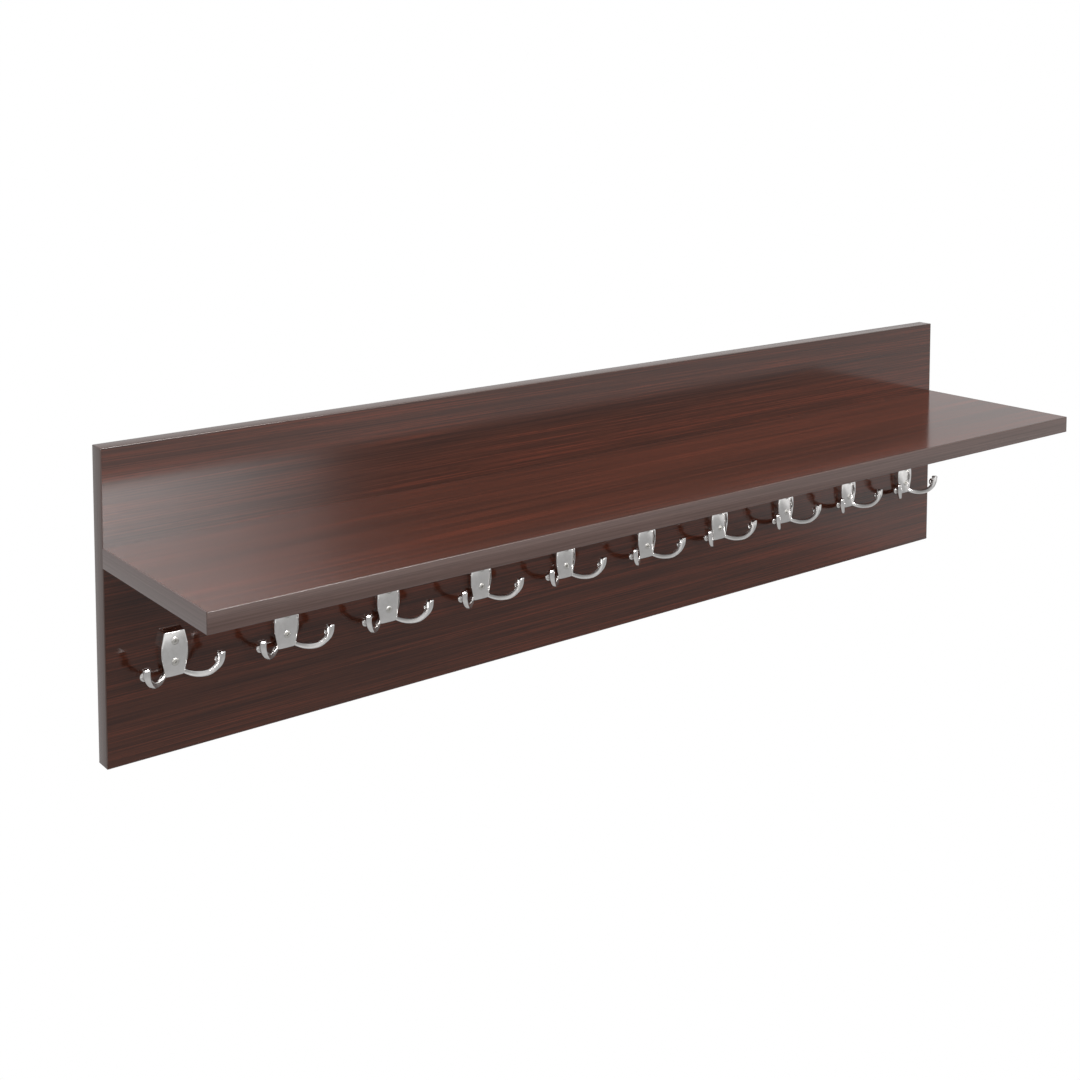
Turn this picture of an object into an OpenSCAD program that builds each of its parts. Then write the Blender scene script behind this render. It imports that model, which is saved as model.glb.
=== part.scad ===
// Wall coat rack: a laminated panel with a shelf and a row of double hooks.
// The origin is the centre of the panel's wall face, and the rack faces -Y.

/* [Boards] */
// Length of the panel and of the shelf
rack_l = 1100; // [800:10:1600]
// Height of the wall panel
panel_h = 280; // [260:5:380]
// Thickness of the wall panel
panel_t = 18; // [16:1:25]
// Depth of the shelf in front of the panel
shelf_d = 200; // [140:5:320]
// Thickness of the shelf
shelf_t = 18; // [16:1:25]
// Height of the shelf's top above the panel's bottom edge
shelf_top = 194; // [180:1:210]
// Thickness of the edge banding
band_t = 1; // [0.4:0.1:2]

/* [Shelf joint] */
// Number of screws through the panel into the shelf
shelf_screw_n = 5; // [3:1:7]
// Distance of the outer shelf screws from the ends
shelf_screw_margin = 50; // [30:5:100]
// Diameter of a shelf screw's shank
shelf_screw_d = 6.6; // [5:0.1:8]
// Length of a shelf screw
shelf_screw_l = 50; // [40:1:60]
// Diameter of a shelf screw's countersunk head
shelf_screw_head_d = 9.6; // [8.5:0.1:11]
// Diameter of a dowel
dowel_d = 8; // [6:1:10]
// Length of a dowel
dowel_l = 35; // [25:1:40]
// Depth of a dowel in the panel
dowel_in_panel = 12; // [8:1:13]

/* [Hooks] */
// Number of double hooks
hook_n = 10; // [2:1:10]
// Distance of the outer hooks from the ends
hook_margin = 55; // [50:1:100]
// Height of the hooks' widest line above the panel's bottom edge
hook_z = 92.5; // [80:0.5:110]

/* [Face plate] */
// Width of the face plate at its widest line
plate_w = 25.2; // [24:0.1:32]
// Width of the face plate at its bottom edge
plate_bottom_w = 17.5; // [15:0.1:22]
// Width of the face plate at its top edge
plate_top_w = 19; // [17:0.1:22]
// Height of the face plate above its widest line
plate_up = 18.5; // [16:0.5:24]
// Height of the face plate below its widest line
plate_down = 22; // [20:0.5:28]
// How far the face stands out from the panel at its middle
plate_out = 8; // [7.8:0.1:10]
// Rise of the top wall from the face back to the panel
plate_top_rise = 1.7; // [0:0.1:3]
// Radius of the face's crown across its width
plate_crown_r = 80; // [50:1:120]
// Wall of the pressed shell
plate_wall = 1.6; // [1:0.1:2]

/* [Prong bar] */
// Sideways reach of a prong's tip from the hook's centre
prong_spread = 34.6; // [32:0.1:38]
// Reach of a prong's tip out from the panel
prong_reach = 26; // [24:0.5:34]
// Height of a prong's tip above its dip
prong_rise = 21; // [19:0.5:26]
// Drop of the dip below the hooks' widest line
prong_dip = 22.4; // [21.5:0.1:23]
// Width of the strap where it leaves the web
strap_root_w = 4.4; // [4:0.1:5]
// Width of the strap at the dip
strap_w = 5.4; // [4.6:0.1:6.4]
// Thickness of the strap from the web to the dip
strap_t = 2.8; // [2.4:0.1:3.2]
// Depth of the tip, from its front to its back
tip_depth = 5; // [4:0.1:6]
// Width of the tip's front
tip_w = 6.4; // [5:0.1:7]
// Bevel along the strap's edges
strap_bevel = 0.6; // [0.3:0.1:0.8]
// Bevel between the tip's front and the side that faces the hook's middle
tip_bevel = 2; // [1:0.1:2.2]
// Height of the bead round the end of the tip
bead_h = 2; // [1.5:0.1:3]
// Diameter of the button behind a tip
button_d = 8.6; // [8:0.1:10]
// Depth of the button's head
button_t = 3.2; // [2.5:0.1:4]
// Gap between the strap and the button's head
button_gap = 0.6; // [0.5:0.1:1.5]
// Distance of the button's centre below the tip
button_drop = 8.6; // [7:0.1:9]
// Width of the web on the panel
web_w = 13; // [12:0.1:14]
// Thickness of the web
web_t = 3; // [2:0.1:3.2]

/* [Hook screws] */
// Diameter of a hook screw's shank
hook_screw_d = 3.4; // [3:0.1:4]
// Length of a hook screw
hook_screw_l = 22; // [19:0.5:23]
// Diameter of a hook screw's countersunk head
hook_screw_head_d = 6.6; // [6:0.1:7.4]
// Height of the upper hook screw above the widest line
upper_screw_up = 9.8; // [8:0.1:12]
// Drop of the lower hook screw below the widest line
lower_screw_down = 9; // [7:0.1:10]

/* [Wall hangers] */
// Distance of the keyhole plates' centres from the ends
hanger_margin = 100; // [60:5:200]
// Drop of the keyhole plates' centre below the top edge
hanger_drop = 40; // [30:1:50]
// Width of a keyhole plate
hanger_w = 52; // [48:1:60]
// Height of a keyhole plate
hanger_h = 20; // [18:0.5:24]
// Thickness of a keyhole plate
hanger_t = 2; // [1.5:0.1:2.5]
// Diameter of the keyhole's round entry
keyhole_d = 9; // [8:0.1:10]
// Width of the keyhole's slot
keyhole_slot_w = 4.6; // [4:0.1:5]
// Rise of the slot's end above the entry's centre
keyhole_rise = 8; // [7:0.1:10]
// Depth of the routed space behind a keyhole
keyhole_pocket = 8; // [6:0.5:10]
// Margin of the routed space round the keyhole
pocket_margin = 2.5; // [1.5:0.1:3]
// Distance between the screws of one keyhole plate
hanger_screw_spacing = 38; // [36:1:42]

/* [Hidden] */
eps = 0.01;
// Clearance round what is pushed or screwed in
fit = 0.1;
// Clearance round screws that pass through
pass = 0.3;
$fn = 48;

// Small differences in the hooks' places along the row, as they were fixed
hook_nudge = [5.8, 5.4, 5.1, 4.4, 3.1, 6.3, 6.6, 4.7, 4.9, 0.5];

function pad(i) = i < 9 ? str("0", i + 1) : str(i + 1);
function hook_x(i) = -rack_l / 2 + hook_margin + i * (rack_l - 2 * hook_margin) / (hook_n - 1)
    + hook_nudge[i];
function shelf_screw_x(i) = -rack_l / 2 + shelf_screw_margin
    + i * (rack_l - 2 * shelf_screw_margin) / (shelf_screw_n - 1);

bottom_z = -panel_h / 2;
top_z = panel_h / 2;
shelf_z = bottom_z + shelf_top - shelf_t / 2;
hanger_z = top_z - hanger_drop;
hanger_xs = [hanger_margin - rack_l / 2, rack_l / 2 - hanger_margin];
hook_screw_zs = [upper_screw_up, -lower_screw_down];
hook_head_h = (hook_screw_head_d - hook_screw_d) / 2;
shelf_head_h = (shelf_screw_head_d - shelf_screw_d) / 2;

// Wood screws of the keyhole plates
small_screw_d = 3;
small_screw_l = 14;
small_head_d = 5.6;
small_head_h = (small_head_d - small_screw_d) / 2;

// The screws' recesses as shares of the head: across a shelf screw's hexagon, and a cross's depth
hex_share = 0.6;
hex_depth = 2.5;
cross_share = 0.8;

HOOKS = [for (i = [0:hook_n - 1]) pad(i)];

// Lays a module that is drawn upwards along Z so that it points out of the wall, along -Y
module facing_out() { rotate([90, 0, 0]) children(); }

// Lays it so that it points into the wall, along +Y
module facing_wall() { rotate([-90, 0, 0]) children(); }

// Moves to a hook's place on the panel's front face
module at_hook(i) { translate([hook_x(i), -panel_t, bottom_z + hook_z]) children(); }

// Moves to each shelf screw's head on the wall face
module at_shelf_screws() {
    for (i = [0:shelf_screw_n - 1]) translate([shelf_screw_x(i), 0, shelf_z]) facing_out() children();
}

// Moves to each dowel's end inside the panel, halfway between two shelf screws
module at_dowels() {
    for (i = [0:shelf_screw_n - 2])
        translate([(shelf_screw_x(i) + shelf_screw_x(i + 1)) / 2, dowel_in_panel - panel_t, shelf_z])
            facing_out() children();
}

// Moves to each screw of the keyhole plates, at the plate's outer face
module at_hanger_screws() {
    for (x = hanger_xs) for (s = [-1, 1])
        translate([x + s * hanger_screw_spacing / 2, 0, hanger_z]) facing_out() children();
}

// A countersunk screw, head down at the origin and pointing up; grow widens it into its hole
module countersunk(d, l, head_d, head_h, grow) {
    cylinder(d = d + 2 * grow, h = l - d / 2);
    translate([0, 0, l - d / 2 - eps]) cylinder(d1 = d + 2 * grow, d2 = d / 3, h = d / 2 + eps);
    cylinder(d1 = head_d + 2 * grow, d2 = d + 2 * grow, h = head_h);
}

// The cross recess in a screw's head
module cross_recess(size, depth) {
    for (a = [0, 90]) rotate([0, 0, a]) translate([-size / 2, -size / 8, -eps]) cube([size, size / 4, depth]);
}

module keyhole(grow, depth) {
    translate([0, 0, -eps]) cylinder(d = keyhole_d + 2 * grow, h = depth + 2 * eps);
    translate([0, keyhole_rise, -eps]) cylinder(d = keyhole_slot_w + 2 * grow, h = depth + 2 * eps);
    translate([-keyhole_slot_w / 2 - grow, 0, -eps])
        cube([keyhole_slot_w + 2 * grow, keyhole_rise, depth + 2 * eps]);
}

// The keyhole plate's outline: a bar with round ends
module hanger_shape(h, grow) {
    linear_extrude(h) {
        square([hanger_w - hanger_h + 2 * grow, hanger_h + 2 * grow], center = true);
        for (s = [-1, 1]) translate([s * (hanger_w - hanger_h) / 2, 0]) circle(d = hanger_h + 2 * grow);
    }
}

module back_panel() {
    color("#46322b") difference() {
        translate([-rack_l / 2 + band_t, -panel_t, bottom_z + band_t])
            cube([rack_l - 2 * band_t, panel_t, panel_h - 2 * band_t]);
        at_shelf_screws() countersunk(shelf_screw_d, shelf_screw_l, shelf_screw_head_d, shelf_head_h, fit);
        at_shelf_screws() translate([0, 0, -eps]) cylinder(d = shelf_screw_head_d + 2 * fit, h = 2 * eps);
        at_dowels() cylinder(d = dowel_d + 2 * fit, h = dowel_in_panel + eps);
        for (i = [0:hook_n - 1]) at_hook(i) for (z = hook_screw_zs)
            translate([0, -plate_out, z]) facing_wall()
                cylinder(d = hook_screw_d + 2 * fit, h = hook_screw_l + fit);
        for (x = hanger_xs) translate([x, 0, hanger_z]) facing_out() {
            translate([0, 0, -eps]) hanger_shape(hanger_t + eps, fit);
            translate([0, -keyhole_rise / 2, 0]) keyhole(pocket_margin, keyhole_pocket);
        }
        at_hanger_screws() cylinder(d = small_screw_d + 2 * fit, h = small_screw_l + fit);
    }
}

module shelf_board() {
    color("#4a352d") difference() {
        translate([-rack_l / 2 + band_t, -panel_t - shelf_d + band_t, shelf_z - shelf_t / 2])
            cube([rack_l - 2 * band_t, shelf_d - band_t, shelf_t]);
        at_shelf_screws() cylinder(d = shelf_screw_d + 2 * fit, h = shelf_screw_l + fit);
        at_dowels() cylinder(d = dowel_d + 2 * fit, h = dowel_l + fit);
    }
}

// A strip along the panel's top or bottom edge
module panel_long_edge(z) {
    color("#8a7f79") translate([-rack_l / 2, -panel_t, z]) cube([rack_l, panel_t, band_t]);
}

module panel_short_edge(x) {
    color("#80746f") translate([x, -panel_t, bottom_z + band_t]) cube([band_t, panel_t, panel_h - 2 * band_t]);
}

module shelf_edge_front() {
    color("#5f4e49") translate([-rack_l / 2, -panel_t - shelf_d, shelf_z - shelf_t / 2])
        cube([rack_l, band_t, shelf_t]);
}

module shelf_short_edge(x) {
    color("#80746f") translate([x, -panel_t - shelf_d + band_t, shelf_z - shelf_t / 2])
        cube([band_t, shelf_d - band_t, shelf_t]);
}

module shelf_screws() {
    color("silver") at_shelf_screws() difference() {
        countersunk(shelf_screw_d, shelf_screw_l, shelf_screw_head_d, shelf_head_h, 0);
        translate([0, 0, -eps]) cylinder(d = shelf_screw_d * hex_share, h = hex_depth, $fn = 6);
    }
}

module shelf_dowels() {
    color("#c9a878") at_dowels() {
        bevel = dowel_d / 8;
        cylinder(d1 = dowel_d - 2 * bevel, d2 = dowel_d, h = bevel);
        translate([0, 0, bevel]) cylinder(d = dowel_d, h = dowel_l - 2 * bevel);
        translate([0, 0, dowel_l - bevel]) cylinder(d1 = dowel_d, d2 = dowel_d - 2 * bevel, h = bevel);
    }
}

module hanger(x) {
    color("#b8bcc0") translate([x, 0, hanger_z]) facing_out() difference() {
        hanger_shape(hanger_t, 0);
        translate([0, -keyhole_rise / 2, 0]) keyhole(0, hanger_t);
        for (s = [-1, 1]) translate([s * hanger_screw_spacing / 2, 0, 0]) {
            countersunk(small_screw_d, small_screw_l, small_head_d, small_head_h, fit);
            translate([0, 0, -eps]) cylinder(d = small_head_d + 2 * fit, h = 2 * eps);
        }
    }
}

module hanger_screws() {
    color("#a8acb0") at_hanger_screws() difference() {
        countersunk(small_screw_d, small_screw_l, small_head_d, small_head_h, 0);
        cross_recess(small_head_d / 2, small_head_h * cross_share);
    }
}

// How far the outline's sides would pass its widest line, and the radius that rounds them there
side_over = 1;
side_r = 60;

// The face plate's outline, drawn in by inset: six sides with a soft corner at the widest line
module plate_outline(inset) {
    half = plate_w / 2 - inset;
    up = plate_up + plate_top_rise - inset;
    down = plate_down - inset;
    intersection() {
        polygon([[-half - side_over, 0], [-plate_bottom_w / 2 + inset, -down],
                 [plate_bottom_w / 2 - inset, -down], [half + side_over, 0],
                 [plate_top_w / 2 - inset, up], [-plate_top_w / 2 + inset, up]]);
        translate([half - side_r, 0]) circle(r = side_r, $fn = 96);
        translate([side_r - half, 0]) circle(r = side_r, $fn = 96);
    }
}

module plate_body(inset) {
    front = plate_out - inset;
    intersection() {
        facing_out() translate([0, 0, -inset]) linear_extrude(plate_out + inset)
            plate_outline(inset);
        translate([0, plate_crown_r - front, -plate_w * 2])
            cylinder(r = plate_crown_r, h = plate_w * 4, $fn = 96);
        rotate([90, 0, 90]) translate([0, 0, -plate_w]) linear_extrude(2 * plate_w)
            polygon([[1, -plate_down], [-plate_out, -plate_down], [-plate_out, plate_up - inset],
                     [0, plate_up + plate_top_rise - inset], [1, plate_up + plate_top_rise - inset]]);
    }
}

// Metal round a screw's head, and what is left of the face over a prong
boss_wall = 0.5;
gap_cover = 1.2;

// The shell: crowned face, side walls down to the panel, a boss under each screw and a gap for each prong
module face_plate(i) {
    boss_d = hook_screw_head_d + 2 * boss_wall;
    color("#c8c8c6") at_hook(i) difference() {
        union() {
            difference() {
                plate_body(0);
                plate_body(plate_wall);
            }
            intersection() {
                plate_body(0);
                for (z = hook_screw_zs) translate([0, -web_t, z]) facing_out()
                    cylinder(d = boss_d, h = plate_out);
            }
        }
        for (z = hook_screw_zs) translate([0, -plate_out, z]) facing_wall() {
            countersunk(hook_screw_d, hook_screw_l, hook_screw_head_d, hook_head_h, pass / 2);
            translate([0, 0, -1]) cylinder(d = hook_screw_head_d + pass, h = 1 + eps);
        }
        for (s = [-1, 1]) mirror([s < 0 ? 1 : 0, 0, 0]) prong_gap();
    }
}

// What is cut from one lower corner of the side walls so that the prong passes
module prong_gap() {
    translate([web_w / 2, -plate_out + gap_cover, -plate_down - eps]) cube([plate_w, plate_out, plate_down / 2]);
}

// A smooth curve through points, between point i and the next
function curve(p, i, t) =
    let (a = p[max(i - 1, 0)], b = p[i], c = p[i + 1], d = p[min(i + 2, len(p) - 1)])
    0.5 * (2 * b + (c - a) * t + (2 * a - 5 * b + 4 * c - d) * t ^ 2 + (3 * b - a - 3 * c + d) * t ^ 3);

function unit(v) = v / norm(v);

function mix(a, b, share) = a + (b - a) * share;

// The prong's route, from inside the shell to the base of the tip's bead. Each row has
// the place as shares of the spread, reach and rise, the way the strap's broad side looks, how
// far the width has grown from root to dip, and how far the section has grown from dip to tip
prong_shape = [
    [0.145, 0.046, 0.47, 0.00, -1.00, 0.00, 0.0, 0.00], [0.208, 0.115, 0.28, -0.20, -0.98, 0.10, 0.0, 0.00],
    [0.300, 0.215, 0.10, -0.46, -0.86, 0.20, 0.2, 0.00], [0.508, 0.477, 0.00, -0.68, -0.68, 0.25, 1.0, 0.00],
    [0.734, 0.762, 0.09, -0.75, -0.61, 0.25, 1.0, 0.12], [0.902, 0.932, 0.37, -0.87, -0.45, 0.20, 1.0, 0.50],
    [0.983, 0.992, 0.69, -0.95, -0.28, 0.10, 1.0, 0.85], [1.000, 1.000, 1.00, -0.99, -0.14, 0.00, 1.0, 1.00]];
prong_steps = 3;
bead_base = prong_rise - bead_h;

function station(s) = concat(
    [s[0] * prong_spread, -s[1] * prong_reach, s[2] * bead_base - prong_dip, s[3], s[4], s[5]],
    [mix(mix(strap_root_w, strap_w, s[6]), tip_depth, s[7]), mix(strap_t, tip_w, s[7]),
     mix(strap_bevel, tip_bevel, s[7])]);
prong_route = [for (s = prong_shape) station(s)];
prong_line = concat(
    [for (i = [0:len(prong_route) - 2]) for (k = [0:prong_steps - 1]) curve(prong_route, i, k / prong_steps)],
    [prong_route[len(prong_route) - 1]]);

// The bead's rings: each one's height above its base, and how far it stands out from the strap
bead_rings = [[0.1, -0.2], [0.25, 0.15], [0.85, 0.15], [1, -0.3]];

function place(v) = [v[0], v[1], v[2]];

// One ring of the strap: a bevelled rectangle that lies across the route
function strap_ring(v, ahead, rise, out) =
    let (side = unit(cross([v[3], v[4], v[5]], ahead)), up = cross(ahead, side),
         w = v[6] / 2 + out, t = v[7] / 2 + out, b = strap_bevel, c = v[8])
    [for (q = [[w - b, -t], [w, b - t], [w, t - b], [w - b, t], [c - w, t], [-w, t - c], [-w, b - t], [b - w, -t]])
        place(v) + rise * ahead + q.x * side + q.y * up];

module strap() {
    last = len(prong_line) - 1;
    tip = prong_line[last];
    aheads = [for (k = [0:last])
        unit(place(prong_line[min(k + 1, last)]) - place(prong_line[max(k - 1, 0)]))];
    rings = concat(
        [for (k = [0:last]) strap_ring(prong_line[k], aheads[k], 0, 0)],
        [for (r = bead_rings) strap_ring(tip, aheads[last], r[0] * bead_h, r[1])]);
    n = len(rings[0]);
    m = len(rings);
    polyhedron(
        points = [for (r = rings) each r],
        faces = concat(
            [for (k = [0:m - 2]) for (j = [0:n - 1]) each
                [[k * n + j, (k + 1) * n + (j + 1) % n, k * n + (j + 1) % n],
                 [k * n + j, (k + 1) * n + j, (k + 1) * n + (j + 1) % n]]],
            [for (j = [1:n - 2]) [0, j, j + 1]],
            [for (j = [1:n - 2]) [(m - 1) * n, (m - 1) * n + j + 1, (m - 1) * n + j]]));
}

// The button behind the tip, on a short neck, with a domed back
module tip_button() {
    r = button_d / 2;
    edge = button_t / 2;
    neck = tip_depth / 2 + button_gap;
    translate([prong_spread, -prong_reach, prong_rise - prong_dip - button_drop]) facing_wall() {
        cylinder(r = r / 2, h = neck + edge);
        translate([0, 0, neck]) rotate_extrude() intersection() {
            translate([r - edge, edge]) circle(r = edge);
            translate([0, 0]) square([r, button_t]);
        }
        translate([0, 0, neck]) cylinder(r = r - edge, h = button_t);
    }
}

module prong() {
    strap();
    tip_button();
}

// Both prongs and the flat web, round at its ends, that carries them behind the face plate
module prong_bar(i) {
    color("#b4b4b2") at_hook(i) difference() {
        union() {
            for (z = hook_screw_zs) translate([0, 0, z]) facing_out() cylinder(d = web_w, h = web_t);
            translate([-web_w / 2, -web_t, -lower_screw_down])
                cube([web_w, web_t, upper_screw_up + lower_screw_down]);
            for (s = [0, 1]) mirror([s, 0, 0]) prong();
        }
        for (z = hook_screw_zs) translate([0, 1, z]) facing_out()
            cylinder(d = hook_screw_d + pass, h = web_t + 2);
        translate([-plate_w, 0, -plate_w]) cube([2 * plate_w, plate_w, 2 * plate_w]);
    }
}

module hook_screws() {
    color("#d4d4d2") for (i = [0:hook_n - 1]) at_hook(i) for (z = hook_screw_zs)
        translate([0, -plate_out, z]) facing_wall() difference() {
            countersunk(hook_screw_d, hook_screw_l, hook_screw_head_d, hook_head_h, 0);
            cross_recess(hook_screw_head_d / 2, hook_head_h * cross_share);
        }
}

back_panel();
shelf_board();
panel_long_edge(top_z - band_t);  // panel_edge_top
panel_long_edge(bottom_z);  // panel_edge_bottom
panel_short_edge(-rack_l / 2);  // panel_edge_left
panel_short_edge(rack_l / 2 - band_t);  // panel_edge_right
shelf_edge_front();
shelf_short_edge(-rack_l / 2);  // shelf_edge_left
shelf_short_edge(rack_l / 2 - band_t);  // shelf_edge_right
shelf_screws();
shelf_dowels();
hanger(hanger_xs[0]);  // hanger_left
hanger(hanger_xs[1]);  // hanger_right
hanger_screws();
for (i = [0:hook_n - 1]) face_plate(i);
for (i = [0:hook_n - 1]) prong_bar(i);
hook_screws();
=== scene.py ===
import math
import random
import bmesh
import bpy
from mathutils import Matrix, Vector


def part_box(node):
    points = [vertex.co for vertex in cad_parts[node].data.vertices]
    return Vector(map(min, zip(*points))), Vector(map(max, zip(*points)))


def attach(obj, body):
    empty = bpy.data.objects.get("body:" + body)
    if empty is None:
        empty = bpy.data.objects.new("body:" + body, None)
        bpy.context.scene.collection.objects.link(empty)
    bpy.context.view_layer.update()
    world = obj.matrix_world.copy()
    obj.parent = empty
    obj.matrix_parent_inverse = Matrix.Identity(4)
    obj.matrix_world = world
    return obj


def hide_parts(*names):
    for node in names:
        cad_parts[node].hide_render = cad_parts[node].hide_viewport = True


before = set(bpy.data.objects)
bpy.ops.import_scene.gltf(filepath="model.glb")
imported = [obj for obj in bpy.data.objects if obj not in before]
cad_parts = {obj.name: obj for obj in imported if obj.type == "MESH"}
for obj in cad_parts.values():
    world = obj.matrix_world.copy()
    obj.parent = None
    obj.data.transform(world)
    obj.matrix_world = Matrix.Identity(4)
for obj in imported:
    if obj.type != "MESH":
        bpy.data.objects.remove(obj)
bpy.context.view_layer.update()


# Back panel
# The board that hangs on the wall: 18 mm particle board faced with a printed brown wood decor under
# a clear melamine overlay. The polished press plate leaves it glossy, so it mirrors hooks and shelf.

X, Y, Z = 0, 1, 2
FACE_PRINT = "371d15", "4b281c", "693323"
FACE_ROUGHNESS = 0.13
# Each layer of the print's figure: its length and height in metres, and its weight
BAND_LENGTH, BAND_HEIGHT, BAND_WEIGHT = 1.1, 0.030, 0.45
STREAK_LENGTH, STREAK_HEIGHT, STREAK_WEIGHT = 0.4, 0.005, 0.45
FIBRE_LENGTH, FIBRE_HEIGHT, FIBRE_WEIGHT = 0.16, 0.0012, 0.8
# Where in the noise the bands lie
BAND_PLACE = 3.1, 0.4, 1.3
# The pores' length and height, the share of dark ink in them, and how deep the press sinks them
PORE_LENGTH, PORE_HEIGHT, PORE_INK, PORE_DEPTH = 0.014, 0.0007, 0.35, 0.00004


def linear(colour):
    """An sRGB hex colour as the linear RGBA that shaders take."""
    parts = [int(colour[i:i + 2], 16) / 255 for i in (0, 2, 4)]
    return [p / 12.92 if p <= 0.04045 else ((p + 0.055) / 1.055) ** 2.4 for p in parts] + [1.0]


def add(tree, kind, settings=None, **inputs):
    """Adds a node, sets its properties and feeds its inputs, which go by name, or by number as i0, i1.

    An input takes a value or another node's socket.
    """
    node = tree.nodes.new("ShaderNode" + kind)
    for key, value in (settings or {}).items():
        setattr(node, key, value)
    for key, value in inputs.items():
        by_number = key[0] == "i" and key[1:].isdigit()
        socket = node.inputs[int(key[1:]) if by_number else key.replace("_", " ")]
        if isinstance(value, bpy.types.NodeSocket):
            tree.links.new(value, socket)
        else:
            socket.default_value = value
    return node


def surface(name, **values):
    """A new material, with its node tree and its shader, whose own sockets take the uniform values."""
    material = bpy.data.materials.new(name)
    material.use_nodes = True
    shader = material.node_tree.nodes["Principled BSDF"]
    for key, value in values.items():
        shader.inputs[key.replace("_", " ")].default_value = value
    return material, material.node_tree, shader


def ramp(tree, value, *stops):
    """Turns a value into colours, from (place, hex) stops."""
    node = add(tree, "ValToRGB", i0=value)
    elements = node.color_ramp.elements
    while len(elements) < len(stops):
        elements.new(0.5)
    for element, (place, colour) in zip(elements, stops):
        element.position = place
        element.color = linear(colour)
    return node.outputs["Color"]


def streaks(tree, point, along, length, height, detail, place=(0, 0, 0)):
    """Noise drawn out along one axis: one streak is about that long and that high, in metres."""
    scale = [1 / height] * 3
    scale[along] = 1 / length
    scaled = add(tree, "Mapping", Vector=point, Location=place, Scale=scale)
    return add(tree, "TexNoise", Vector=scaled.outputs[0], Scale=1.0, Detail=detail).outputs["Fac"]


def weigh(tree, *parts):
    """The mean value 0.5 plus each noise's swing about 0.5 times its weight."""
    total = 0.5
    for noise, weight in parts:
        swing = add(tree, "Math", {"operation": "SUBTRACT"}, i0=noise, i1=0.5).outputs[0]
        total = add(tree, "Math", {"operation": "MULTIPLY_ADD"}, i0=swing, i1=weight, i2=total).outputs[0]
    return total


def wood_print(name, roughness, colours, along=X):
    """A printed decor under its clear overlay: broad bands, streaks, fibres and dashes of dark pores.

    The grain runs along one axis of the piece.
    """
    material, tree, shader = surface(name, Roughness=roughness)
    point = add(tree, "TexCoord").outputs["Object"]
    band = streaks(tree, point, along, BAND_LENGTH, BAND_HEIGHT, 2.0, BAND_PLACE)
    streak = streaks(tree, point, along, STREAK_LENGTH, STREAK_HEIGHT, 3.0)
    fibre = streaks(tree, point, along, FIBRE_LENGTH, FIBRE_HEIGHT, 2.0)
    pore = streaks(tree, point, along, PORE_LENGTH, PORE_HEIGHT, 0.0)
    figure = weigh(tree, (band, BAND_WEIGHT), (streak, STREAK_WEIGHT), (fibre, FIBRE_WEIGHT))
    dark, middle, light = colours
    print_colour = ramp(tree, figure, (0.3, dark), (0.5, middle), (0.7, light))
    dash = add(tree, "MapRange", {"interpolation_type": "SMOOTHSTEP"}, Value=pore,
               From_Min=0.62, From_Max=0.72, To_Min=0.0, To_Max=PORE_INK)
    colour = add(tree, "Mix", {"data_type": "RGBA"}, Factor=dash.outputs[0],
                 i6=print_colour, i7=linear(dark))
    tree.links.new(colour.outputs[2], shader.inputs["Base Color"])
    bump = add(tree, "Bump", Strength=0.08, Distance=PORE_DEPTH, Height=pore)
    tree.links.new(bump.outputs[0], shader.inputs["Normal"])
    return material


def wear(obj, material):
    """Puts the material on every slot of a piece."""
    obj.data.materials.clear()
    obj.data.materials.append(material)


wood_laminate = wood_print("wood_decor_laminate", FACE_ROUGHNESS, FACE_PRINT)
wear(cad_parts["back_panel"], wood_laminate)


# Edge banding
# Plastic strips 1 mm thick, their decor coloured greyer than the faces', glued round each edge that
# shows and scraped to a small round. The scraper leaves them duller than the pressed faces, with a
# fine seam.

EDGE_PRINT = "51403a", "5c4843", "65514b"
EDGE_ROUGHNESS = 0.22
# In metres: the round of the long edges, the hair that the inner ones stand back, and the end's round
SCRAPED_ROUND, SEAM, CORNER = 0.0007, 0.00015, 0.0009
ROUND_STEPS = 4


def piece(name, mesh_data, material, node, place=(0, 0, 0)):
    """A finished piece that stands for its CAD node and rides on the rack."""
    obj = bpy.data.objects.new(name, mesh_data)
    bpy.context.scene.collection.objects.link(obj)
    obj.location = place
    if not mesh_data.materials:
        mesh_data.materials.append(material)
    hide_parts(node)
    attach(obj, "root")
    return obj


def smooth(mesh, name, angle=35.0):
    """Turns a bmesh into mesh data, smooth but for edges sharper than the angle."""
    bmesh.ops.recalc_face_normals(mesh, faces=mesh.faces)
    data = bpy.data.meshes.new(name)
    mesh.to_mesh(data)
    mesh.free()
    data.shade_smooth()
    data.set_sharp_from_angle(angle=math.radians(angle))
    return data


def loft(mesh, rings, closed=True):
    """Skins a row of rings of points, and closes both ends."""
    loops = [[mesh.verts.new(p) for p in ring] for ring in rings]
    count = len(loops[0])
    for lower, upper in zip(loops, loops[1:]):
        for j in range(count):
            mesh.faces.new((lower[j], lower[(j + 1) % count], upper[(j + 1) % count], upper[j]))
    if closed:
        mesh.faces.new(list(reversed(loops[0])))
        mesh.faces.new(loops[-1])
    return loops


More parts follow.
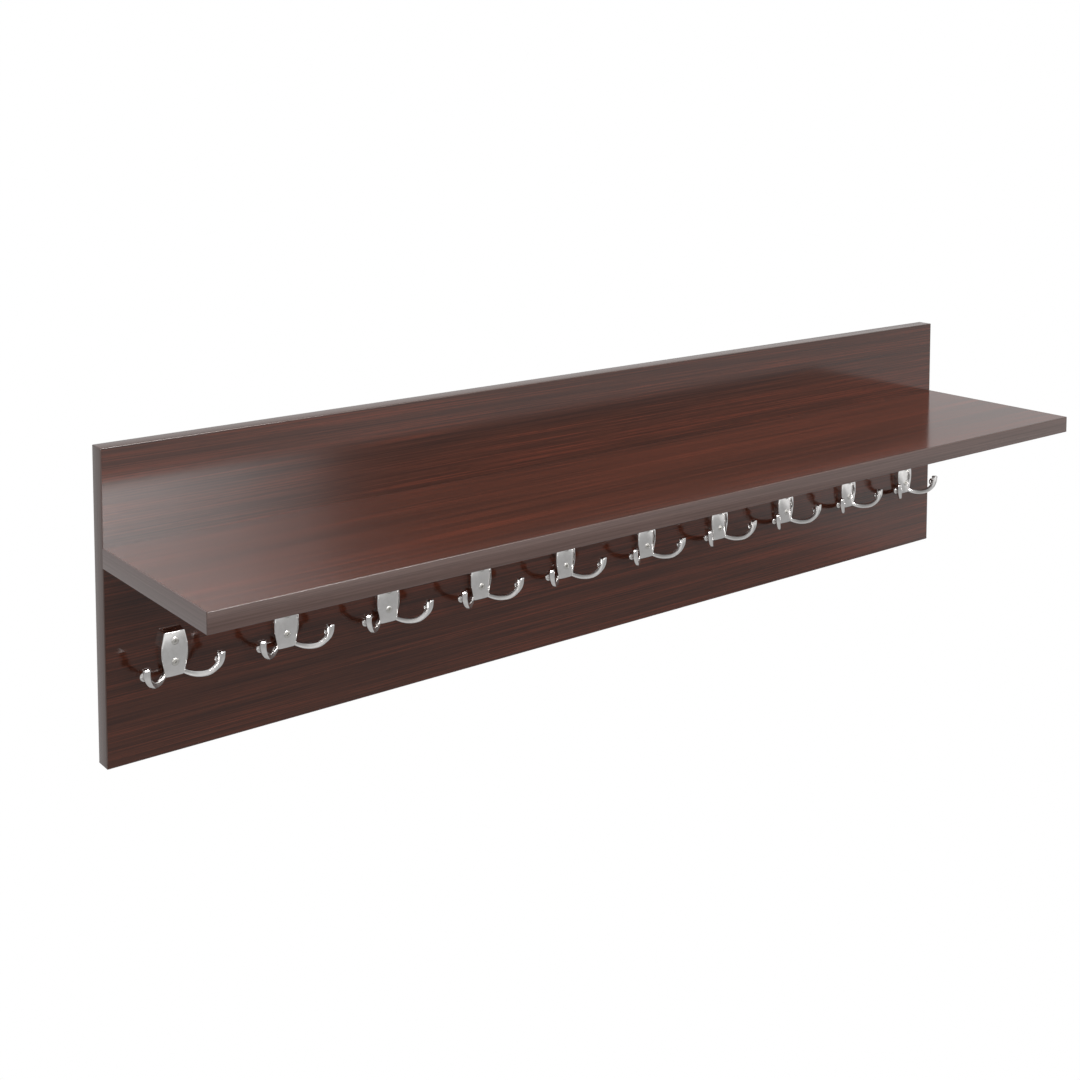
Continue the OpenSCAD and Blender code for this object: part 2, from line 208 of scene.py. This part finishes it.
def edge_strip(node, along, out, side, material, corners=False):
    """A strip that fills its node's box: outer long edges scraped round, inner ones a hair back.

    It runs along one axis and faces out on another, to side 1 or -1. With corners, it has round ends.
    """
    low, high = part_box(node)
    across = X + Y + Z - along - out
    inner = (low if side > 0 else high)[out]
    thick = high[out] - low[out]
    turns = [k * math.pi / 2 / ROUND_STEPS for k in range(ROUND_STEPS + 1)]
    scraped = [(SCRAPED_ROUND * (1 - math.sin(a)), thick - SCRAPED_ROUND * (1 - math.cos(a)))
               for a in turns]
    profile = [(low[across] + SEAM, 0.0), (low[across], SEAM)]
    profile += [(low[across] + inset, rise) for inset, rise in scraped[::-1]]
    profile += [(high[across] - inset, rise) for inset, rise in scraped]
    profile += [(high[across], SEAM), (high[across] - SEAM, 0.0)]
    ends = [(0.0, 1.0)]
    if corners:
        ends = [(CORNER * (1 - math.sin(a)), 1 - CORNER / thick * (1 - math.cos(a))) for a in turns[::-1]]
    stops = [(low[along] + inset, share) for inset, share in ends]
    stops += [(high[along] - inset, share) for inset, share in ends[::-1]]
    rings = []
    for place, share in stops:
        ring = []
        for sideways, rise in profile:
            point = [0.0, 0.0, 0.0]
            point[along], point[across], point[out] = place, sideways, inner + side * rise * share
            ring.append(point)
        rings.append(ring)
    mesh = bmesh.new()
    loft(mesh, rings)
    return piece(node + "_strip", smooth(mesh, node + "_strip"), material, node)


band_lengthways = wood_print("wood_decor_edge_band", EDGE_ROUGHNESS, EDGE_PRINT)
band_upright = wood_print("wood_decor_edge_band_upright", EDGE_ROUGHNESS, EDGE_PRINT, along=Z)
edge_strip("panel_edge_top", X, Z, 1, band_lengthways, corners=True)
edge_strip("panel_edge_bottom", X, Z, -1, band_lengthways, corners=True)
edge_strip("panel_edge_left", Z, X, -1, band_upright)
edge_strip("panel_edge_right", Z, X, 1, band_upright)


# Shelf
# The same board, butted against the panel's front face. It is banded on its front and on both ends; the
# ends' band is coloured paler and greyer than the front's, which paints in the light and gleam on the end
# faces. The saw leaves its edges a hair blunt, so the joint with the panel shows as a fine dark line.

BLUNT_EDGE = 0.0004
# The ends' colours, paler and greyer than the other bands': painted light and gleam on the end faces
END_PRINT_WITH_PAINTED_LIGHT = "675955", "705e5b", "776561"

shelf_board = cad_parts["shelf_board"]
wear(shelf_board, wood_laminate)
blunt = shelf_board.modifiers.new("blunt_edge", "BEVEL")
blunt.width, blunt.segments = BLUNT_EDGE, 1
blunt.limit_method, blunt.angle_limit = "ANGLE", math.radians(80)
# The ends' band material, whose pale grey colour is painted light and gleam
ends_band_painted_light = wood_print("wood_decor_edge_band_crossways", EDGE_ROUGHNESS, END_PRINT_WITH_PAINTED_LIGHT, along=Y)
edge_strip("shelf_edge_front", X, Y, -1, band_lengthways, corners=True)
edge_strip("shelf_edge_left", Y, X, -1, ends_band_painted_light)
edge_strip("shelf_edge_right", Y, X, 1, ends_band_painted_light)


# Shelf dowels
# Beech pegs 8 mm thick, glued into holes in the panel and in the shelf's back edge. They are hidden
# once the rack is joined. Taken apart, they show pale, dry wood with a short fine grain.

GRAIN_LENGTH, GRAIN_HEIGHT = 0.016, 0.0011

beech, tree, shader = surface("beech_dowel", Roughness=0.6)
point = add(tree, "TexCoord").outputs["Object"]
fibre = streaks(tree, point, Y, GRAIN_LENGTH, GRAIN_HEIGHT, 2.0)
tree.links.new(ramp(tree, fibre, (0.3, "b98f62"), (0.7, "d8b68a")), shader.inputs["Base Color"])
wear(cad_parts["shelf_dowels"], beech)


# Screws and keyhole plates
# Steel wood screws and stamped hanger plates, zinc plated and passivated. The plating dries in
# faint cloudy patches a few millimetres across, so the metal looks cool grey and half matt.

PATCH_SIZE = 0.003


def clouded(tree, shader, size, detail, dark, light):
    """Gives a metal its colour, in soft patches of about that size, and returns the point they use."""
    point = add(tree, "TexCoord").outputs["Object"]
    patches = add(tree, "TexNoise", Vector=point, Scale=1 / size, Detail=detail).outputs["Fac"]
    tree.links.new(ramp(tree, patches, (0.3, dark), (0.7, light)), shader.inputs["Base Color"])
    return point


zinc, tree, shader = surface("zinc_plated_steel", Metallic=1.0, Roughness=0.34)
clouded(tree, shader, PATCH_SIZE, 2.0, "9fa3a6", "c4c8ca")
for node in ("shelf_screws", "hanger_left", "hanger_right", "hanger_screws"):
    wear(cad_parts[node], zinc)


# Prong bars
# One zinc die casting for each hook: a web behind the cover and two straps that run out sideways,
# dip on edge and turn up to a beaded tip with a round button behind it. The satin chrome plate has a
# fine grit that softens what it mirrors.

CLOUD_SIZE, GRIT_SIZE, GRIT_HEIGHT = 0.004, 0.0006, 0.00001

satin_chrome, tree, shader = surface("satin_chrome_plate", Metallic=1.0, Roughness=0.15)
point = clouded(tree, shader, CLOUD_SIZE, 3.0, "dad8d6", "e4e2e1")
grit = add(tree, "TexNoise", Vector=point, Scale=1 / GRIT_SIZE, Detail=2.0)
bump = add(tree, "Bump", Strength=0.1, Distance=GRIT_HEIGHT, Height=grit.outputs["Fac"])
tree.links.new(bump.outputs[0], shader.inputs["Normal"])

# In metres, from the hook's middle on the panel's front: the tip's place and the dip's, the strap, the
# tip and its bead, the radius of their edges, the web and its screws, and the button
PRONG_SPREAD, PRONG_REACH, PRONG_RISE, PRONG_DIP = 0.0346, 0.026, 0.021, 0.0224
ROOT_WIDTH, DIP_WIDTH, STRAP_THICK = 0.0044, 0.0054, 0.0028
TIP_DEPTH, TIP_WIDTH, BEAD_HEIGHT = 0.005, 0.0064, 0.002
STRAP_EDGE, TIP_EDGE = 0.0009, 0.0022
WEB_WIDTH, WEB_THICK = 0.013, 0.003
UPPER_SCREW, LOWER_SCREW = 0.0098, -0.009
BUTTON_RADIUS, BUTTON_DEPTH, BUTTON_GAP, BUTTON_DROP = 0.0043, 0.0032, 0.0006, 0.0086
# Shares: of the button's radius, the flat in the middle of its dome, and of the strap, its edges' most
BUTTON_FLAT, MOST_ROUND = 0.3, 0.95
# The strap's stations: its place as shares of spread, reach and rise, the way its broad side looks,
# and how far it has grown from root to dip and from dip to tip
STATIONS = (
    (0.145, 0.046, 0.47, 0.00, -1.00, 0.00, 0.0, 0.00),
    (0.208, 0.115, 0.28, -0.20, -0.98, 0.10, 0.0, 0.00),
    (0.300, 0.215, 0.10, -0.46, -0.86, 0.20, 0.2, 0.00),
    (0.508, 0.477, 0.00, -0.68, -0.68, 0.25, 1.0, 0.00),
    (0.734, 0.762, 0.09, -0.75, -0.61, 0.25, 1.0, 0.12),
    (0.902, 0.932, 0.37, -0.87, -0.45, 0.20, 1.0, 0.50),
    (0.983, 0.992, 0.69, -0.95, -0.28, 0.10, 1.0, 0.85),
    (1.000, 1.000, 1.00, -0.99, -0.14, 0.00, 1.0, 1.00))
STATION_STEPS, STRAP_ROUND_STEPS = 8, 3
# The bead, from the groove below it to its low dome: shares of its height, and how far it stands out
BEAD_RINGS = ((0.05, -0.00035), (0.14, 0.0001), (0.22, 0.00015), (0.76, -0.00024), (0.86, -0.0006),
              (0.95, -0.0013), (1.0, -0.0021))
# Angle between two points of a turned or rolled round, in degrees
ARC_STEP = 15


def mix(a, b, share):
    """What lies at a share of the way from a to b."""
    return a + (b - a) * share


def along_curve(rows, i, t):
    """A smooth curve through the rows, at share t between row i and the next."""
    a, b, c, d = (rows[min(max(k, 0), len(rows) - 1)] for k in (i - 1, i, i + 1, i + 2))
    return [0.5 * (2 * q + (r - p) * t + (2 * p - 5 * q + 4 * r - s) * t ** 2
                   + (3 * q - p - 3 * r + s) * t ** 3) for p, q, r, s in zip(a, b, c, d)]


def strap_station(share_x, share_y, share_z, look_x, look_y, look_z, grown, tipped):
    """A station as place, look, width, thickness and the radius of its widest corner, in metres."""
    height = share_z * (PRONG_RISE - BEAD_HEIGHT) - PRONG_DIP
    return (share_x * PRONG_SPREAD, -share_y * PRONG_REACH, height, look_x, look_y, look_z,
            mix(mix(ROOT_WIDTH, DIP_WIDTH, grown), TIP_DEPTH, tipped),
            mix(STRAP_THICK, TIP_WIDTH, tipped), mix(STRAP_EDGE, TIP_EDGE, tipped))


def strap_ring(row, ahead, rise, swell):
    """A rectangle with round corners across the strap's route. One corner can be wider than the rest."""
    side = Vector(row[3:6]).cross(ahead).normalized()
    up = ahead.cross(side)
    w, t = row[6] / 2 + swell, row[7] / 2 + swell
    base = Vector(row[:3]) + rise * ahead
    ring = []
    corners = ((1, -1, STRAP_EDGE), (1, 1, STRAP_EDGE), (-1, 1, row[8]), (-1, -1, STRAP_EDGE))
    for quarter, (sx, sy, radius) in enumerate(corners):
        r = min(radius, w * MOST_ROUND, t * MOST_ROUND)
        for k in range(STRAP_ROUND_STEPS + 1):
            a = math.radians(90 * (quarter - 1) + 90 // STRAP_ROUND_STEPS * k)
            x, y = sx * (w - r) + r * math.cos(a), sy * (t - r) + r * math.sin(a)
            ring.append(base + x * side + y * up)
    return ring


def turned(mesh, profile, centre, axis_y, segments=32):
    """A turned shape: (radius, distance) pairs about an axis along Y, from its first end to its last."""
    rings = []
    for radius, reach in profile:
        turns = [2 * math.pi * k / segments for k in range(segments)]
        rings.append([(centre[0] + radius * math.cos(a), centre[1] + axis_y * reach,
                       centre[2] + radius * math.sin(a)) for a in turns])
    loft(mesh, rings)


def prong_mesh():
    """The web and, on both sides of it, a strap swept along its route with its bead and its button."""
    rows = [strap_station(*s) for s in STATIONS]
    route = [along_curve(rows, i, k / STATION_STEPS)
             for i in range(len(rows) - 1) for k in range(STATION_STEPS)] + [rows[-1]]
    last = len(route) - 1
    mesh = bmesh.new()
    for mirror in (1, -1):
        rings = []
        for k, row in enumerate(route):
            after, before = Vector(route[min(k + 1, last)][:3]), Vector(route[max(k - 1, 0)][:3])
            ahead = (after - before).normalized()
            rings.append(strap_ring(row, ahead, 0, 0))
        rings += [strap_ring(route[-1], ahead, share * BEAD_HEIGHT, swell) for share, swell in BEAD_RINGS]
        loft(mesh, [[(mirror * p.x, p.y, p.z) for p in ring] for ring in rings])
        r, d, n = BUTTON_RADIUS, BUTTON_DEPTH, TIP_DEPTH / 2 + BUTTON_GAP
        edge = d / 2
        half_turn = [math.radians(ARC_STEP * k) for k in range(180 // ARC_STEP + 1)]
        dome = [(r - edge + edge * math.sin(a), n + edge - edge * math.cos(a)) for a in half_turn]
        turned(mesh, [(r / 2, 0), (r / 2, n)] + dome + [(BUTTON_FLAT * r, n + d)],
               (mirror * PRONG_SPREAD, -PRONG_REACH, PRONG_RISE - PRONG_DIP - BUTTON_DROP), 1)
    half = WEB_WIDTH / 2
    outline = []
    for height, start in ((UPPER_SCREW, 0), (LOWER_SCREW, 180)):
        arc = [math.radians(a) for a in range(start, start + 181, ARC_STEP)]
        outline += [(half * math.cos(a), height + half * math.sin(a)) for a in arc]
    loft(mesh, [[(x, y, z) for x, z in outline] for y in (0.0, -WEB_THICK)])
    return smooth(mesh, "prong_bar")


hook_names = ["%02d" % (i + 1) for i in range(10)]
# The cover's width and its reach below its widest line, and where the panel's front lies
PLATE_WIDTH, PLATE_DOWN, PLATE_BACK = 0.0252, 0.022, -0.018


def hook_place(name):
    """The middle of a hook's widest line on the panel's front, from its cover's box."""
    low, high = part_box("face_plate_" + name)
    return Vector(((low[0] + high[0]) / 2, PLATE_BACK, low[2] + PLATE_DOWN))


prong_data = prong_mesh()
for name in hook_names:
    piece("prongs_" + name, prong_data, satin_chrome, "prong_bar_" + name, hook_place(name))


# Face plates
# The cover of each hook: a pressed steel shell with a barrel outline, softly crowned, its rim rolled
# down to the panel, notched below for the straps and countersunk for two screws. It is plated like
# the prongs, so its crown mirrors the room in soft bands.

# In metres: the outline's widths and heights, its rounds and crowns, the sheet, the screws and notches
PLATE_TOP_WIDTH, PLATE_BOTTOM_WIDTH = 0.019, 0.0175
PLATE_UP, PLATE_OUT, TOP_RISE = 0.0185, 0.008, 0.0017
SIDE_RADIUS, SIDE_OVER, CROWN_RADIUS, LONG_CROWN_RADIUS = 0.060, 0.001, 0.080, 0.260
RIM_ROUND, CORNER_ROUND, SHEET = 0.0009, 0.0012, 0.0016
SCREW_HEAD_RADIUS, SCREW_SHANK_RADIUS, SCREW_CLEARANCE = 0.0033, 0.0017, 0.00015
GAP_IN, GAP_FRONT = 0.0065, 0.0059
# Faces across the front and up it between its corners, and rings up the wall as shares of its depth
COLUMNS, BETWEEN_CORNERS = 18, 30
WALL_RINGS = 0.0, 0.35, 0.7, 1.0
# How far the punch passes the sheet, how deep a screw's seat is sunk, and the faces round the seat
PUNCH_OVER, SEAT_SINK, SEAT_SEGMENTS = 0.001, 0.0002, 40


def edge_at(z):
    """The outline's half width at a height: straight sides, round where they meet and at their ends."""
    end, reach = (PLATE_TOP_WIDTH / 2, PLATE_UP) if z > 0 else (PLATE_BOTTOM_WIDTH / 2, PLATE_DOWN)
    straight = mix(PLATE_WIDTH / 2 + SIDE_OVER, end, abs(z) / reach)
    arc = PLATE_WIDTH / 2 - SIDE_RADIUS + math.sqrt(SIDE_RADIUS ** 2 - z ** 2)
    past = max(0.0, abs(z) - reach + CORNER_ROUND)
    return min(straight, arc) - CORNER_ROUND + math.sqrt(max(0.0, CORNER_ROUND ** 2 - past ** 2))


def plate_face(x, z):
    """Where the cover's crowned front lies, out from the panel."""
    return -(PLATE_OUT - x * x / (2 * CROWN_RADIUS) - z * z / (2 * LONG_CROWN_RADIUS))


# The heights of the front's rows of points, closest at the round corners
corner = [CORNER_ROUND * (1 - math.sin(math.radians(a))) for a in range(90, 0, -ARC_STEP)]
ROWS = [-PLATE_DOWN + c for c in corner]
ROWS += [mix(-PLATE_DOWN + CORNER_ROUND, PLATE_UP - CORNER_ROUND, k / BETWEEN_CORNERS)
         for k in range(BETWEEN_CORNERS + 1)]
ROWS += [PLATE_UP - c for c in corner[::-1]]


def plate_outline():
    """The outline's points, from the lower left corner to the right, up, back and down."""
    across = [2 * k / COLUMNS - 1 for k in range(COLUMNS + 1)]
    low_row = [(c * edge_at(ROWS[0]), ROWS[0]) for c in across]
    high_row = [(c * edge_at(ROWS[-1]), ROWS[-1]) for c in across]
    side = [(edge_at(z), z) for z in ROWS[1:-1]]
    return low_row + side + high_row[::-1] + [(-x, z) for x, z in side[::-1]]


def drawn_in(outline, inset):
    """The outline moved in towards its middle by a distance."""
    moved = []
    for k, (x, z) in enumerate(outline):
        after, before = Vector(outline[(k + 1) % len(outline)]), Vector(outline[k - 1])
        tangent = (after - before).normalized()
        moved.append((x - inset * tangent.y, z + inset * tangent.x))
    return moved


def crowned_face(mesh, border, depth):
    """Fills a closed border of vertices with a crowned grid, a depth behind the cover's front."""
    wide, high = COLUMNS + 1, len(ROWS) - 2
    right, left = border[wide:wide + high], border[2 * wide + high:][::-1]
    rows = [border[:wide]]
    for a, b in zip(left, right):
        between = [a.co.lerp(b.co, k / COLUMNS) for k in range(1, COLUMNS)]
        middle = [mesh.verts.new((p.x, plate_face(p.x, p.z) + depth, p.z)) for p in between]
        rows.append([a] + middle + [b])
    rows.append(border[wide + high:2 * wide + high][::-1])
    for lower, upper in zip(rows, rows[1:]):
        for j in range(COLUMNS):
            mesh.faces.new((lower[j], lower[j + 1], upper[j + 1], upper[j]))


def plate_mesh():
    """The shell: its wall, the rolled rim, the crowned front and the hollow behind."""
    outline = plate_outline()
    mesh = bmesh.new()
    rings = []
    for share in WALL_RINGS:
        lift = TOP_RISE * (1 - share)
        rings.append([(x, (plate_face(x, z) + RIM_ROUND) * share, z + (lift if z == ROWS[-1] else 0.0))
                      for x, z in outline])
    for a in (math.radians(ARC_STEP * k) for k in range(1, 90 // ARC_STEP + 1)):
        rings.append([(x, plate_face(x, z) + RIM_ROUND * (1 - math.sin(a)), z)
                      for x, z in drawn_in(outline, RIM_ROUND * (1 - math.cos(a)))])
    outer = loft(mesh, rings, closed=False)
    crowned_face(mesh, outer[-1], 0.0)
    inside = [(x * (1 - 2 * SHEET / PLATE_WIDTH), z * (1 - SHEET / PLATE_DOWN)) for x, z in outline]
    inner = loft(mesh, [[(x, (plate_face(x, z) + SHEET) * share, z) for x, z in inside]
                        for share in (0.0, 1.0)], closed=False)
    crowned_face(mesh, inner[-1], SHEET)
    for j in range(len(outline)):
        k = (j + 1) % len(outline)
        mesh.faces.new((outer[0][j], outer[0][k], inner[0][k], inner[0][j]))
    return smooth(mesh, "face_plate", 50)


def cut_out(data, cutter_mesh):
    """Cuts a bmesh out of mesh data and gives the new data."""
    body = bpy.data.objects.new("blank", data)
    tool_data = bpy.data.meshes.new("punch")
    bmesh.ops.recalc_face_normals(cutter_mesh, faces=cutter_mesh.faces)
    cutter_mesh.to_mesh(tool_data)
    cutter_mesh.free()
    tool = bpy.data.objects.new("punch", tool_data)
    for obj in (body, tool):
        bpy.context.scene.collection.objects.link(obj)
    cut = body.modifiers.new("punch", "BOOLEAN")
    cut.object, cut.operation, cut.solver = tool, "DIFFERENCE", "EXACT"
    bpy.context.view_layer.update()
    result = bpy.data.meshes.new_from_object(body.evaluated_get(bpy.context.evaluated_depsgraph_get()))
    for obj in (body, tool):
        bpy.data.objects.remove(obj)
    return result


punch = bmesh.new()
seat = SCREW_HEAD_RADIUS + SCREW_CLEARANCE
shank = SCREW_SHANK_RADIUS + SCREW_CLEARANCE
for height in (UPPER_SCREW, LOWER_SCREW):
    face = -plate_face(0, height)
    turned(punch, [(seat, face + 2 * PUNCH_OVER), (seat, face - SEAT_SINK),
                   (shank, face - SEAT_SINK - seat + shank), (shank, -PUNCH_OVER)],
           (0, 0, height), -1, SEAT_SEGMENTS)
for s in (-1, 1):
    low_end, high_end = -PLATE_DOWN - PUNCH_OVER, -PLATE_DOWN / 2
    notch = ((GAP_IN, low_end), (PLATE_WIDTH, low_end), (PLATE_WIDTH, high_end), (GAP_IN, high_end))
    loft(punch, [[(s * x, y, z) for x, z in notch] for y in (PUNCH_OVER, -GAP_FRONT)])
plate_data = cut_out(plate_mesh(), punch)
plate_data.name = "face_plate_shell"
plate_data.set_sharp_from_angle(angle=math.radians(50))
for name in hook_names:
    piece("cover_" + name, plate_data, satin_chrome, "face_plate_" + name, hook_place(name))


# Hook screws
# Countersunk steel screws with a cross recess, nickel plated: brighter and smoother than the
# covers. Each was driven home by hand, so no two crosses stand at the same angle.

FILM_SIZE = 0.0015
SCREW_LENGTH, POINT_LENGTH, POINT_RADIUS, HEAD_DOME, HEAD_SINK = 0.022, 0.002, 0.0004, 0.00025, 0.0001
RECESS_WIDTH, RECESS_SLOT, RECESS_DEPTH = 0.0030, 0.0008, 0.0011
DOME_ANGLES = 10, 30, 50, 70, 90
# The cross narrows from above the head to its floor: these shares of its width
RECESS_ABOVE, RECESS_FLOOR = 1.1, 0.5

bright_nickel, tree, shader = surface("bright_nickel_plate", Metallic=1.0, Roughness=0.14)
clouded(tree, shader, FILM_SIZE, 2.0, "c9c6c0", "dbd9d5")

mesh = bmesh.new()
dome = [(SCREW_HEAD_RADIUS * math.sin(a), -HEAD_DOME * math.cos(a) + HEAD_SINK)
        for a in map(math.radians, DOME_ANGLES)]
head_taper = SCREW_HEAD_RADIUS - SCREW_SHANK_RADIUS
turned(mesh, dome + [(SCREW_SHANK_RADIUS, head_taper), (SCREW_SHANK_RADIUS, SCREW_LENGTH - POINT_LENGTH),
                     (POINT_RADIUS, SCREW_LENGTH)], (0, 0, 0), 1, SEAT_SEGMENTS)
screw_data = smooth(mesh, "screw_blank", 30)
cross = bmesh.new()
rings = []
for depth, share in ((-PUNCH_OVER, RECESS_ABOVE), (RECESS_DEPTH, RECESS_FLOOR)):
    w, n = RECESS_WIDTH / 2 * share, RECESS_SLOT / 2 * (0.5 + 0.5 * share)
    plus = ((w, -n), (w, n), (n, n), (n, w), (-n, w), (-n, n),
            (-w, n), (-w, -n), (-n, -n), (-n, -w), (n, -w), (n, -n))
    rings.append([(x, depth, z) for x, z in plus])
loft(cross, rings)
screw_data = cut_out(screw_data, cross)

chance = random.Random(7)
screws = bmesh.new()
for name in hook_names:
    for height in (UPPER_SCREW, LOWER_SCREW):
        count = len(screws.verts)
        screws.from_mesh(screw_data)
        screws.verts.ensure_lookup_table()
        place = hook_place(name) + Vector((0, plate_face(0, height), height))
        turn = Matrix.Translation(place) @ Matrix.Rotation(chance.uniform(0, math.pi / 2), 4, "Y")
        bmesh.ops.transform(screws, matrix=turn, verts=screws.verts[count:])
piece("driven_screws", smooth(screws, "driven_screws", 30), bright_nickel, "hook_screws")


# Camera
# Stands to the left of the rack, a little above it, and looks along the row of hooks. The lens is
# shifted down, so it hardly tilts and upright edges stay nearly upright.

PICTURE_WIDTH, FOCAL_LENGTH, CENTRE_HEIGHT = 1080, 1547.99, 200  # in pixels of the picture
SENSOR_WIDTH, TILT, PAN = 36.0, 0.0769, -0.6588

camera = bpy.data.objects.new("camera", bpy.data.cameras.new("camera"))
bpy.context.scene.collection.objects.link(camera)
bpy.context.scene.camera = camera
camera.location = (-1.0433, -1.2609, 0.4490)
camera.rotation_euler = (math.pi / 2 - TILT, 0.0, PAN)
camera.data.sensor_width = SENSOR_WIDTH
camera.data.lens = SENSOR_WIDTH * FOCAL_LENGTH / PICTURE_WIDTH
camera.data.shift_y = (CENTRE_HEIGHT - PICTURE_WIDTH / 2) / PICTURE_WIDTH
camera.data.clip_start = 0.01


# Light
# Softboxes in front, set one before the other so that their gleam on the boards fades out softly, and
# a small bright one beside them. One in front and one above light without a gleam. All round is a
# pale room, dim only where the camera stands.

# The softboxes: their radiances, and the gleaming ones' reaches to the right, height and spacing
GLEAM_RADIANCE, HIGH_GLEAM_RADIANCE = 6.0, 11.0
FRONT_RADIANCE, TOP_RADIANCE = 3.0, 3.9
GLEAM_REACHES, GLEAM_HEIGHT, GLEAM_STEP = (0.50, 0.68, 0.86, 1.05), 1.16, 0.01
GLEAM_TARGET = -0.4, 0, 0
# The room's level as it lights surfaces, and as metal and gloss mirror it behind the rack and before it
ROOM_LIGHT, ROOM_BEHIND, ROOM_BEFORE = 0.62, 0.68, 1.1
# The way to where the camera stands, and the share of the room's level that is left there
DIM_WAY, DIM_LEVEL = (-0.63, -0.73, 0.26), 0.3


def softbox(name, place, target, width, height, radiance):
    """A rectangular lamp that faces its target, with the same brightness whatever its size."""
    lamp = bpy.data.lights.new(name, "AREA")
    lamp.shape = "RECTANGLE"
    lamp.size, lamp.size_y = width, height
    lamp.energy = radiance * math.pi * width * height
    obj = bpy.data.objects.new(name, lamp)
    bpy.context.scene.collection.objects.link(obj)
    obj.location = place
    obj.rotation_euler = (Vector(target) - Vector(place)).to_track_quat("-Z", "Y").to_euler()
    return obj


for step, reach in enumerate(GLEAM_REACHES):
    gleam = softbox("gleam_softbox_%d" % step, (reach / 2 - 0.2, -2.6 + GLEAM_STEP * step, 1.06),
                    GLEAM_TARGET, reach + 0.4, GLEAM_HEIGHT, GLEAM_RADIANCE)
    gleam.visible_diffuse = False
high_gleam = softbox("gleam_softbox_high", (1.0, -2.55, 1.36), GLEAM_TARGET,
                     0.7, 0.42, HIGH_GLEAM_RADIANCE)
high_gleam.visible_diffuse = False
front = softbox("front_softbox", (-0.3, -2.4, 1.0), (0, 0, 0), 1.6, 1.0, FRONT_RADIANCE)
front.visible_glossy = False
top = softbox("top_softbox", (0.3, -0.7, 2.2), (0.2, -0.1, 0), 2.2, 1.2, TOP_RADIANCE)
top.visible_glossy = False

world = bpy.data.worlds.new("pale_room")
bpy.context.scene.world = world
world.use_nodes = True
tree = world.node_tree
for node in list(tree.nodes):
    tree.nodes.remove(node)
rays = add(tree, "LightPath").outputs
shiny = add(tree, "Math", {"operation": "MAXIMUM"},
            i0=rays["Is Glossy Ray"], i1=rays["Is Transmission Ray"]).outputs[0]
way = add(tree, "TexCoord").outputs["Generated"]
facing = add(tree, "SeparateXYZ", i0=way).outputs["Y"]
near_camera = add(tree, "VectorMath", {"operation": "DOT_PRODUCT"}, i0=way, i1=DIM_WAY).outputs["Value"]
dim = add(tree, "MapRange", Value=near_camera,
          From_Min=0.88, From_Max=1.0, To_Min=1.0, To_Max=DIM_LEVEL).outputs[0]
room = add(tree, "MapRange", Value=facing,
           From_Min=-0.2, From_Max=-0.85, To_Min=ROOM_BEHIND, To_Max=ROOM_BEFORE).outputs[0]
mirrored = add(tree, "Math", {"operation": "MULTIPLY"}, i0=room, i1=dim).outputs[0]
level = add(tree, "Mix", {"data_type": "FLOAT"}, Factor=shiny, A=ROOM_LIGHT, B=mirrored).outputs[0]
seen = add(tree, "Mix", {"data_type": "FLOAT"}, Factor=rays["Is Camera Ray"], A=level, B=1.0).outputs[0]
air = add(tree, "Background", Color=(1, 1, 1, 1), Strength=seen).outputs[0]
add(tree, "OutputWorld", Surface=air)


# Floor
# A pale matt floor, as far below the rack as a hallway's. Metal and gloss mirror it, and the camera
# sees it white, as the photograph's ground is.

FLOOR_PAINT = "cacaca"
FLOOR_LEFT, FLOOR_RIGHT, FLOOR_FRONT, FLOOR_BACK, FLOOR_HEIGHT = -4.2, 4.2, -5.7, 2.4, -1.6

floor_mesh = bpy.data.meshes.new("floor")
floor_corners = ((FLOOR_LEFT, FLOOR_FRONT), (FLOOR_RIGHT, FLOOR_FRONT),
                 (FLOOR_RIGHT, FLOOR_BACK), (FLOOR_LEFT, FLOOR_BACK))
floor_mesh.from_pydata([(x, y, FLOOR_HEIGHT) for x, y in floor_corners], [], [(0, 1, 2, 3)])
floor = bpy.data.objects.new("floor", floor_mesh)
bpy.context.scene.collection.objects.link(floor)
paint, tree, shader = surface("pale_floor", Base_Color=linear(FLOOR_PAINT), Roughness=0.9)
rays = add(tree, "LightPath").outputs
white = add(tree, "Emission", Color=(1, 1, 1, 1), Strength=1.0)
blend = add(tree, "MixShader", i0=rays["Is Camera Ray"], i1=shader.outputs[0], i2=white.outputs[0])
tree.links.new(blend.outputs[0], tree.nodes["Material Output"].inputs["Surface"])
floor_mesh.materials.append(paint)

bpy.context.scene.view_settings.view_transform = "Standard"
